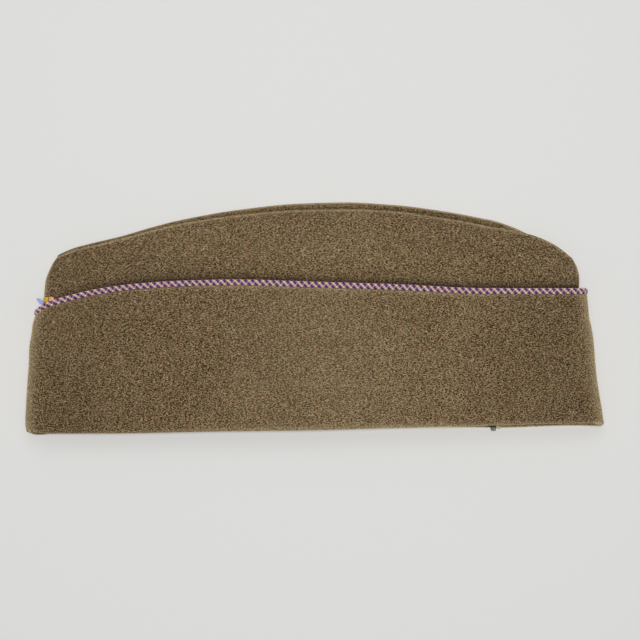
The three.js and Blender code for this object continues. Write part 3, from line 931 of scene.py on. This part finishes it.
# %% Run a tree and keep the mesh
def run_tree(name, carrier, tree, values):
    """Runs a node tree on a carrier object and returns its result as a plain mesh object."""
    modifier = carrier.modifiers.new(tree.name, "NODES")
    modifier.node_group = tree
    for item in tree.interface.items_tree:
        if item.item_type == "SOCKET" and item.in_out == "INPUT" and item.name in values:
            modifier[item.identifier] = values[item.name]
    bpy.context.view_layer.update()
    evaluated = carrier.evaluated_get(bpy.context.evaluated_depsgraph_get())
    mesh = bpy.data.meshes.new_from_object(evaluated)
    carrier.modifiers.remove(modifier)
    mesh.name = name
    mesh.calc_loop_triangles()
    print(name, len(mesh.loop_triangles), "triangles")
    return add_object(name, mesh)


# %% Fibre material
FIBRE_DARK = paint(128, 108, 74)
FIBRE_PALE = paint(226, 206, 168)
FIBRE_CONTRAST = 4.0


def fibre_material():
    material, graph, shader = start_material("loose_fibre", {
        "Roughness": 0.6, "Specular IOR Level": 0.3, "Sheen Weight": 0.4})
    place = graph.node("ShaderNodeTexCoord")["Object"]
    lot = graph.node("ShaderNodeTexNoise", None, {"Vector": place, "Scale": 160.0, "Detail": 1.0})
    colour = graph.colour_mix((lot - 0.5) * FIBRE_CONTRAST + 0.5, FIBRE_DARK, FIBRE_PALE)
    graph.feed(shader.inputs["Base Color"], colour)
    return material


loose_fibre = fibre_material()
print("material:", loose_fibre.name)


# %% The fibres as a node tree
NUMBER = "NodeSocketFloat"
WHOLE = "NodeSocketInt"
OUTWARD_LIMIT = 0.55
SHELTER_THINNING = 1.5
FIBRE_BENDS = ((1.0, 0.2), (-1.2, -0.3), (0.35, 0.0), (2.2, 0.5))


def nap_tree():
    """Four bent fibres, one of which is set down at each point that is scattered on the cloth."""
    graph, entry = geometry_tree("loose_nap", {
        "Density": (NUMBER, 80000.0), "Facing": (NUMBER, 1.0), "Length": (NUMBER, 0.0034),
        "Thickness": (NUMBER, 0.0001), "Curl": (NUMBER, 0.001), "Rise": (NUMBER, 0.00022),
        "Clearance": (NUMBER, 0.0012), "Steps": (WHOLE, 4), "Seed": (WHOLE, 5),
    })
    outside = graph.axes(graph.node("GeometryNodeInputNormal"))["Z"] * entry["Facing"] > OUTWARD_LIMIT
    off_the_table = graph.axes(graph.node("GeometryNodeInputPosition"))["Z"] > entry["Clearance"]
    shade = graph.node("GeometryNodeInputNamedAttribute", {"data_type": "FLOAT"}, {"Name": "shade"})
    bare = graph.clamp(1.0 - shade * SHELTER_THINNING)
    points = graph.node("GeometryNodeDistributePointsOnFaces", None, {
        "Mesh": entry["Geometry"], "Selection": outside, "Density": entry["Density"] * bare * off_the_table,
        "Seed": entry["Seed"]})
    half = entry["Length"] * 0.5
    rise = entry["Rise"]
    bends = []
    for sideways, along in FIBRE_BENDS:
        start = graph.node("ShaderNodeCombineXYZ", None, {"X": half * -1.0})
        middle = graph.node("ShaderNodeCombineXYZ", None, {
            "X": half * along, "Y": entry["Curl"] * sideways, "Z": rise * 2.0})
        end = graph.node("ShaderNodeCombineXYZ", None, {"X": half, "Z": rise * 0.4})
        bend = graph.node("GeometryNodeCurveQuadraticBezier", None, {
            "Resolution": entry["Steps"], "Start": start, "Middle": middle, "End": end})
        profile = graph.node("GeometryNodeCurvePrimitiveCircle", {"mode": "RADIUS"}, {
            "Resolution": 3, "Radius": entry["Thickness"] * 0.5})
        share = graph.node("GeometryNodeSplineParameter")["Factor"] * 2.0 - 1.0
        tube = graph.node("GeometryNodeCurveToMesh", None, {
            "Curve": bend, "Profile Curve": profile, "Scale": 1.0 - share * share * 0.65, "Fill Caps": True})
        bends.append(graph.node("GeometryNodeGeometryToInstance", None, {"Geometry": tube}))
    joined = graph.node("GeometryNodeJoinGeometry", None, {"Geometry": bends})
    heading = graph.node("FunctionNodeRandomValue", {"data_type": "FLOAT"}, {
        "Min": 0.0, "Max": 2 * math.pi, "Seed": 1})
    turn = graph.node("FunctionNodeAxisAngleToRotation", None, {"Axis": (0.0, 0.0, 1.0), "Angle": heading})
    size = graph.node("FunctionNodeRandomValue", {"data_type": "FLOAT"}, {
        "Min": 0.55, "Max": 1.35, "Seed": 2})
    kind = graph.node("FunctionNodeRandomValue", {"data_type": "INT"}, {
        "Min": 0, "Max": len(FIBRE_BENDS) - 1, "Seed": 3})
    rotation = graph.node("FunctionNodeRotateRotation", {"rotation_space": "LOCAL"}, {
        "Rotation": points["Rotation"], "Rotate By": turn})
    placed = graph.node("GeometryNodeInstanceOnPoints", None, {
        "Points": points, "Instance": joined, "Pick Instance": True, "Instance Index": kind,
        "Rotation": rotation, "Scale": size})
    whole_nap = graph.node("GeometryNodeRealizeInstances", None, {"Geometry": placed})
    coloured = graph.node("GeometryNodeSetMaterial", None, {"Geometry": whole_nap, "Material": loose_fibre})
    graph.node("NodeGroupOutput", None, {"Geometry": coloured})
    return graph.tree


nap = nap_tree()
print("fibre tree:", len(nap.nodes), "nodes")

# %% Scatter the fibres
UPPER_DENSITY = 90000.0
LOWER_DENSITY = 30000.0

for node, slot, facing, density, seed in (
        ("crown_left", "crown_wool", 1.0, UPPER_DENSITY, 5),
        ("curtain_left", "curtain_wool", 1.0, UPPER_DENSITY, 6),
        ("crown_right", "crown_wool", -1.0, LOWER_DENSITY, 7),
        ("curtain_right", "curtain_wool", -1.0, LOWER_DENSITY, 8)):
    fibre_values = {"Facing": facing, "Density": density, "Seed": seed}
    dress(run_tree(node + "_nap", cloths[node], nap, fibre_values), None, slot)

# %% [markdown]
# ## The braided piping
# The piping is a round braid of eight strands round a core: four run round it one way and four the other,
# and each goes over one and under the next. One way run two dark blue and two golden orange strands, and the
# other way two lilac and two pale pink ones, placed so that lilac crosses blue, which makes the blue run in
# slanting bars. The lilac is a lighter copy of the blue, a painted highlight of the shiny blue yarn. An
# image or a bump on a plain cord would show no gaps between the strands, and drawing them by hand would be
# hopeless, so Geometry Nodes bend straight tubes round one path by the braid's rule.

# %% The path of the piping
PATH_STEPS = 420
CORD_SINK = 0.12
BRAID_REPEAT = 3.5


def piping_path(side):
    at = Places(CURTAIN_FOLD, 40, PATH_STEPS)
    height = cord_line(at.along) - CORD_SINK
    line = wall_points(CURTAIN, side, at, 1.0, height, CURTAIN_WALL / 2)[:, 0]
    line[:, 2] = np.maximum(line[:, 2], PIPING_DIAMETER / 2 + TABLE_CLEARANCE)
    return line


def path_length(line):
    return float(np.linalg.norm(np.diff(line, axis=0), axis=1).sum())


near_path, far_path = piping_path("near"), piping_path("far")
loop = np.concatenate([near_path, far_path[::-1], near_path[:1]])
near_length = path_length(np.concatenate([near_path, far_path[-1:]]))
loop_length = path_length(loop)
bars = round(loop_length / BRAID_REPEAT)
braid_pitch = 2 * loop_length / bars
print("piping", round(loop_length, 1), "mm round, pitch", round(braid_pitch, 3), "mm,", bars, "bars")

# %% [markdown]
# ## Yarn
# Each strand is a bundle of fine, slightly shiny threads. Drawn singly they would need millions of faces,
# so a mark named filament counts them across the strand, and its sine gives them their tone and relief.
# A second mark paints shade on a strand at its edges and where it dives under another one. Slow noise
# makes the dye uneven.

# %% Yarn materials
# The colour of the painted shade in the braid's crevices.
CREVICE_SHADE = paint(48, 22, 34)
PLY_SHARE = 0.35
DYE_CONTRAST = 1.6
DYE_LEVEL = 0.45
PLY_DEPTH = 0.12


def yarn(name, colour, shade, sheen):
    material, graph, shader = start_material(name, {
        "Roughness": 0.45, "Specular IOR Level": 0.4, "Sheen Weight": sheen, "Sheen Roughness": 0.4})
    place = graph.node("ShaderNodeTexCoord")["Object"]
    uneven = graph.node("ShaderNodeTexNoise", None, {"Vector": place, "Scale": 700.0, "Detail": 2.0})
    ply = graph.work("SINE", graph.mark("filament") * 3.0) * 0.5 + 0.5
    tone = ply * PLY_SHARE + (uneven - 0.5) * DYE_CONTRAST + DYE_LEVEL
    mixed = graph.colour_mix(tone, shade, colour)
    # Painted shade at the strands' edges and where they dive under.
    mixed = graph.colour_mix(graph.mark("sunken"), mixed, CREVICE_SHADE)
    bump = graph.node("ShaderNodeBump", None, {"Strength": 0.4, "Distance": PLY_DEPTH * MM, "Height": ply})
    graph.feed(shader.inputs["Base Color"], mixed)
    graph.feed(shader.inputs["Normal"], bump)
    return material


blue_yarn = yarn("blue_yarn", paint(80, 48, 124), paint(36, 16, 58), 0.25)
# The lilac is a lighter copy of the blue yarn: a painted highlight of its shine.
lilac_highlight_yarn = yarn("lilac_highlight_yarn", paint(190, 154, 226), paint(108, 70, 154), 0.3)
orange_yarn = yarn("orange_yarn", paint(255, 228, 184), paint(252, 166, 98), 0.25)
pale_yarn = yarn("pale_yarn", paint(240, 200, 220), paint(196, 140, 170), 0.3)
# The core is real, but its dark colour is painted shade for the gaps between the strands.
shaded_core_yarn = yarn("shaded_core_yarn", paint(60, 44, 60), paint(30, 20, 30), 0.0)
print("yarns:", [m.name for m in bpy.data.materials if m.name.endswith("_yarn")])

# %% The braid as a node tree
STRANDS = 8
FULL_FROM = -0.03
THINNING_RUN = 0.08


def braid_tree():
    """Straight tubes, eight strands and a core, each moved point by point to its place in the braid."""
    graph, entry = geometry_tree("round_braid", {
        "Start": (NUMBER, 0.0), "End": (NUMBER, 0.1), "Pitch": (NUMBER, 0.007),
        "Radius": (NUMBER, 0.00107), "Wave": (NUMBER, 0.00028), "Width": (NUMBER, 0.00104),
        "Thickness": (NUMBER, 0.00068), "Core": (NUMBER, 0.0015), "Unevenness": (NUMBER, 0.7),
        "Bias": (NUMBER, 0.00003), "Front Thinning": (NUMBER, 0.08), "Crossing Slimness": (NUMBER, 0.26),
        "Segments": (WHOLE, 100), "Sides": (WHOLE, 8),
    })
    tube = graph.node("GeometryNodeMeshCylinder", {"fill_type": "NGON"}, {
        "Vertices": entry["Sides"], "Side Segments": entry["Segments"], "Radius": 1.0, "Depth": 1.0})
    single = graph.node("GeometryNodeGeometryToInstance", None, {"Geometry": tube})
    copies = graph.node("GeometryNodeDuplicateElements", {"domain": "INSTANCE"}, {
        "Geometry": single, "Amount": STRANDS + 1})
    named = graph.node("GeometryNodeStoreNamedAttribute", {"data_type": "INT", "domain": "INSTANCE"}, {
        "Geometry": copies, "Name": "strand", "Value": copies["Duplicate Index"]})
    loose = graph.node("GeometryNodeRealizeInstances", None, {"Geometry": named})
    strand = graph.node("GeometryNodeInputNamedAttribute", {"data_type": "INT"}, {"Name": "strand"})
    core = strand > STRANDS - 0.5
    right_handed = strand > STRANDS / 2 - 0.5
    turning = right_handed * 2.0 - 1.0
    place = graph.axes(graph.node("GeometryNodeInputPosition"))
    round_tube = graph.work("ARCTAN2", place["Y"], place["X"])
    s = entry["Start"] + (place["Z"] + 0.5) * (entry["End"] - entry["Start"])
    spot = graph.node("GeometryNodeSampleCurve", {"mode": "LENGTH"}, {
        "Curves": entry["Geometry"], "Length": s})
    tangent = spot["Tangent"]
    across = graph.axes(spot["Position"])["X"]
    towards_back = graph.clamp((across + (THINNING_RUN - FULL_FROM)) / THINNING_RUN)
    size = 1.0 - entry["Front Thinning"] * (1.0 - towards_back)
    outward = graph.work("NORMALIZE", graph.work("CROSS_PRODUCT", tangent, (0.0, 1.0, 0.0)))
    upward = graph.work("CROSS_PRODUCT", outward, tangent)
    rate = turning * (2 * math.pi) / entry["Pitch"]
    angle = strand * (math.pi / 2) + math.pi / 4 + rate * s
    cosine, sine = graph.work("COSINE", angle), graph.work("SINE", angle)
    radial = outward * cosine + upward * sine
    round_braid = upward * cosine - outward * sine
    spot_on_strand = graph.node("ShaderNodeCombineXYZ", None, {"X": s * 420.0, "Y": strand * 3.7})
    uneven = graph.node("ShaderNodeTexNoise", {"noise_dimensions": "2D"}, {
        "Vector": spot_on_strand, "Scale": 1.0, "Detail": 1.0}) - 0.5
    swing = graph.work("COSINE", s * (8 * math.pi) / entry["Pitch"]) * turning * -1.0
    over = swing * (1.3 - swing * swing * 0.3)
    lift = entry["Wave"] * over + entry["Wave"] * uneven * entry["Unevenness"]
    radius = (entry["Radius"] * size + lift - turning * entry["Bias"]) * (1.0 - core)
    heading = graph.work("NORMALIZE", tangent + round_braid * (radius * rate))
    sideways = graph.work("CROSS_PRODUCT", radial, heading)
    odd = graph.work("MODULO", strand, 2.0)
    blue = (1.0 - right_handed) * (1.0 - odd)
    orange = (1.0 - right_handed) * odd
    fullness = over * 0.1 + 1.02 + uneven * entry["Unevenness"] * 0.4 + orange * 0.24 - blue * 0.06
    fullness = fullness - right_handed * entry["Crossing Slimness"]
    width = entry["Width"] * size * fullness * (1.0 - core) + entry["Core"] * core
    thickness = entry["Thickness"] * (1.0 - core) + entry["Core"] * core
    wide = sideways * (graph.work("COSINE", round_tube) * width * 0.5)
    thick = radial * (graph.work("SINE", round_tube) * thickness * 0.5)
    edge = graph.work("COSINE", round_tube)
    # Painted shade: darker at a strand's edges and where it dives under another.
    sunken = graph.clamp(0.06 - over * 0.6 + edge * edge * 0.9)
    marked = loose
    for mark, value in (("filament", edge * 3.0), ("sunken", sunken)):
        marked = graph.node("GeometryNodeStoreNamedAttribute", {"data_type": "FLOAT", "domain": "POINT"}, {
            "Geometry": marked, "Name": mark, "Value": value})
    moved = graph.node("GeometryNodeSetPosition", None, {
        "Geometry": marked, "Position": spot["Position"] + radial * radius + wide + thick})
    smooth = graph.node("GeometryNodeSetShadeSmooth", None, {"Geometry": moved})
    whole = graph.node("GeometryNodeRealizeInstances", None, {"Geometry": smooth})
    coloured = graph.node("GeometryNodeSetMaterial", None, {"Geometry": whole, "Material": orange_yarn})
    # These strands carry the painted highlight of the blue yarn.
    lilac = right_handed * odd
    looks = ((blue, blue_yarn), (right_handed, pale_yarn), (lilac, lilac_highlight_yarn), (core, shaded_core_yarn))
    for selection, look in looks:
        coloured = graph.node("GeometryNodeSetMaterial", None, {
            "Geometry": coloured, "Selection": selection, "Material": look})
    graph.node("NodeGroupOutput", None, {"Geometry": coloured})
    return graph.tree


braid = braid_tree()
print("braid tree:", len(braid.nodes), "nodes")

# %% Lay the piping
BRAID_CUT = 0.03
RINGS_PER_PITCH = 24


def path_object(name, points):
    data = bpy.data.curves.new(name, "CURVE")
    data.dimensions = "3D"
    spline = data.splines.new("POLY")
    spline.points.add(len(points) - 1)
    places = np.c_[in_metres(points), np.ones(len(points))].astype(np.float32)
    spline.points.foreach_set("co", places.ravel())
    return add_object(name, data)


def piping(name, start, end):
    values = {"Start": start * MM, "End": end * MM, "Pitch": braid_pitch * MM}
    values["Segments"] = round((end - start) / braid_pitch * RINGS_PER_PITCH)
    return run_tree(name, braid_path, braid, values)


braid_path = path_object("piping_path", loop)
for node, start, end in (
        ("piping_left", BRAID_CUT, near_length - BRAID_CUT),
        ("piping_right", near_length + BRAID_CUT, loop_length - BRAID_CUT)):
    dress(piping(node + "_braid", start, end), None, "braided_cord", node)

# %% [markdown]
# ## The cord's cut end
# At the front the two ends of the cord pass each other, and one stub is left lying on the crown just above
# the piping. It ends in three amber turns of the braid, golden strands that are cut off square, and a tuft
# of pale blue threads. A particle system would fray it at random, so each thread is drawn: a thin tube
# along a line that follows the crown's front fold.


# %% Threads as tapered tubes
THREAD_SIDES = 7


def tube_rings(points, radii, sides):
    """Rings round a line of points, each square to the line."""
    tangents = np.gradient(points, axis=0)
    tangents = tangents / np.linalg.norm(tangents, axis=1, keepdims=True)
    first = np.cross(tangents, (0.123, 0.77, 0.41))
    first = first / np.linalg.norm(first, axis=1, keepdims=True)
    second = np.cross(tangents, first)
    angle = np.linspace(0, 2 * math.pi, sides, endpoint=False)[None, :, None]
    around = first[:, None] * np.cos(angle) + second[:, None] * np.sin(angle)
    return points[:, None] + around * np.asarray(radii)[:, None, None]


def thread_bundle(name, threads, materials):
    """One mesh of closed tubes. Each thread is a line of points, its radii and its material's number."""
    places, faces, looks = [], [], []
    for points, radii, look in threads:
        rings = tube_rings(np.asarray(points, float), radii, THREAD_SIDES)
        start = sum(len(part) for part in places)
        index = start + np.arange(len(rings) * THREAD_SIDES).reshape(-1, THREAD_SIDES)
        quads = between_rings(index)
        faces += quads.tolist() + [index[0, ::-1].tolist(), index[-1].tolist()]
        looks += [look] * (len(quads) + 2)
        places.append(rings.reshape(-1, 3))
    mesh = smooth_mesh(name, np.concatenate(places), faces)
    mesh.polygons.foreach_set("material_index", looks)
    for material in materials:
        mesh.materials.append(material)
    print(name, len(threads), "threads,", len(mesh.polygons), "faces")
    return add_object(name, mesh)


# %% Sizes and yarns of the cut end
gold_yarn = yarn("gold_yarn", paint(242, 192, 50), paint(204, 146, 22), 0.25)
amber_yarn = yarn("amber_yarn", paint(255, 206, 144), paint(222, 126, 48), 0.25)
sky_yarn = yarn("sky_yarn", paint(196, 216, 255), paint(40, 78, 196), 0.3)
STUB_HEIGHT = 67.7
STUB_START = 9.85
STUB_END = 12.3
STUB_GAP = 0.4
STUB_STRANDS = 7
STRAND_RADIUS = 0.46
STRAND_RING = 0.88
WRAP_SIZES = (1.0, 1.2, 0.95)
WRAP_RADIUS = 0.47
WRAP_STEP = 0.8
WRAP_SLANT = 0.25
TUFT_ROOT = (9.2, 65.8)
TUFT_TIP = (6.3, 68.3)
TUFT_ACROSS = (0.68, 0.73)
TUFT_THREADS = 11
TUFT_RADIUS = 0.17
print("cut end:", round(STUB_END - STUB_START, 2), "mm of cut strands,", TUFT_THREADS, "threads in its tuft")


# %% The threads of the cut end
def on_front_fold(x, height, lift):
    """Points on the crown's front fold, at given places seen from above, lifted off the cloth."""
    x, height, lift = (np.reshape(value, (-1, 1)) for value in np.broadcast_arrays(x, height, lift))
    at = Places(CROWN_FOLD, 4, 4)
    at.end = np.full(x.shape, -1)
    at.along = np.full(x.shape, 0.01)
    for _ in range(4):
        up = crown_share("near", at.along, height)
        fold, front = crown_fold(up), crown_ends(up)[0]
        part = np.clip((x - front + lift) / (fold + lift), 0, 1)
        at.turn = np.arccos(1 - part)
        at.along = CROWN_FOLD / CAP_LENGTH * part
    at.across = at.along
    return wall_points(CROWN, "near", at, up, height, -lift)[:, 0]


def stub_threads():
    """Golden strands cut off square, amber turns of the braid behind them and a tuft of blue threads."""
    threads = []
    dice = np.random.default_rng(12)
    for k in range(STUB_STRANDS):
        in_middle = k == STUB_STRANDS - 1
        out, angle = (0, 0) if in_middle else (STRAND_RING, k * math.pi / 3 + 0.3)
        x = np.linspace(STUB_START + 0.3 * dice.random(), STUB_END, 8)
        line = on_front_fold(x, STUB_HEIGHT + out * math.cos(angle), 1.3 + out * math.sin(angle))
        threads.append((line, np.full(len(line), STRAND_RADIUS), 0))
    for k, size in enumerate(WRAP_SIZES):
        angle = np.linspace(0, 2 * math.pi, 22)
        x = STUB_END + STUB_GAP + WRAP_RADIUS + WRAP_STEP * k + WRAP_SLANT * np.sin(angle)
        wrap = on_front_fold(x, STUB_HEIGHT + size * np.cos(angle), 1.5 + size * np.sin(angle))
        threads.append((wrap, np.full(len(wrap), WRAP_RADIUS), 1))
    root, tip, across = np.array(TUFT_ROOT), np.array(TUFT_TIP), np.array(TUFT_ACROSS)
    level = on_front_fold([STUB_START + 0.4], STUB_HEIGHT - 2, 0.8)[0, 2]
    s = np.linspace(0, 1, 9)[:, None]
    for k in range(TUFT_THREADS):
        side = 2 * k / (TUFT_THREADS - 1) - 1
        base = root + across * side * 0.5 + 0.15 * dice.random(2)
        end = tip + 0.3 * (dice.random(2) - 0.5)
        belly = across * side * 0.45 * np.sin(math.pi * s)
        flat = base + (end - base) * s + belly
        z = level + (0.5 * dice.random() - 0.2) + 0.9 * s + 0.3 * np.cos(side * 2)
        threads.append((np.c_[flat, z], TUFT_RADIUS * (1 - 0.75 * s[:, 0]), 2))
    return threads


piping_end = thread_bundle("piping_end_stub", stub_threads(), (gold_yarn, amber_yarn, sky_yarn))
dress(piping_end, None, "cut_cord", "piping_end")

# %% [markdown]
# ## The knot at the hem
# Inside the hem the sewing is tied off: a small knot of dark waxed thread with pale ends shows at the mouth.
# A real knot's path would be hidden in its own turns, so two short coils and a few loose ends stand for it,
# made of the same tubes as the cut end.

# %% Hem knot
black_thread = yarn("black_thread", paint(46, 42, 36), paint(14, 12, 10), 0.1)
waxed_thread = yarn("waxed_thread", paint(168, 172, 150), paint(58, 62, 50), 0.1)
pale_thread = yarn("pale_thread", paint(232, 208, 160), paint(172, 140, 98), 0.2)
KNOT_X = 235.8
KNOT_Y = 3.0


def knot_threads():
    level = float(far_inner(KNOT_PLACE, float(curtain_hem("far", KNOT_PLACE)))) + SEAM_GAP + 1.3
    s = np.linspace(0, 1, 12)
    tail = np.c_[KNOT_X - 3.5 + 2.6 * s, KNOT_Y + 1.1 - 0.3 * s, level + 0.3 * s]
    turn = np.linspace(0, 5 * math.pi, 50)
    dark = np.c_[KNOT_X - 1.0 + 2.2 * turn / turn[-1], KNOT_Y + 0.75 + 0.4 * np.cos(turn),
                 level + 0.5 * np.sin(turn)]
    turn = np.linspace(0, 6 * math.pi, 72)
    swell = np.sin(np.linspace(0.6, math.pi - 0.6, 72))
    coil = np.c_[KNOT_X - 1.2 + 2.4 * turn / turn[-1], KNOT_Y - 0.25 + 0.95 * np.cos(turn) * swell,
                 level + 0.75 * np.sin(turn) * swell]
    threads = [(tail, 0.12 + 0.36 * s, 0), (dark, 0.36 + 0 * turn[:50], 0), (coil, 0.34 + 0 * turn, 1)]
    for k in range(4):
        spread = 0.3 * (k - 1.5)
        end = np.c_[KNOT_X + 1.2 + 2.1 * s, KNOT_Y + 0.75 + spread - 0.45 * s, level + 0.15 * k + 0 * s]
        threads.append((end, 0.24 - 0.1 * s, 2))
    return threads


hem_knot = thread_bundle("hem_knot_thread", knot_threads(), (black_thread, waxed_thread, pale_thread))
dress(hem_knot, None, "sewing_thread", "hem_knot")

# %% [markdown]
# ## Finish
# The piping's path is no piece of the cap, so it goes. The cloth and its fibres may stand a little
# proud of the imported solids.

# %% Clean up and finish
bpy.data.objects.remove(braid_path)
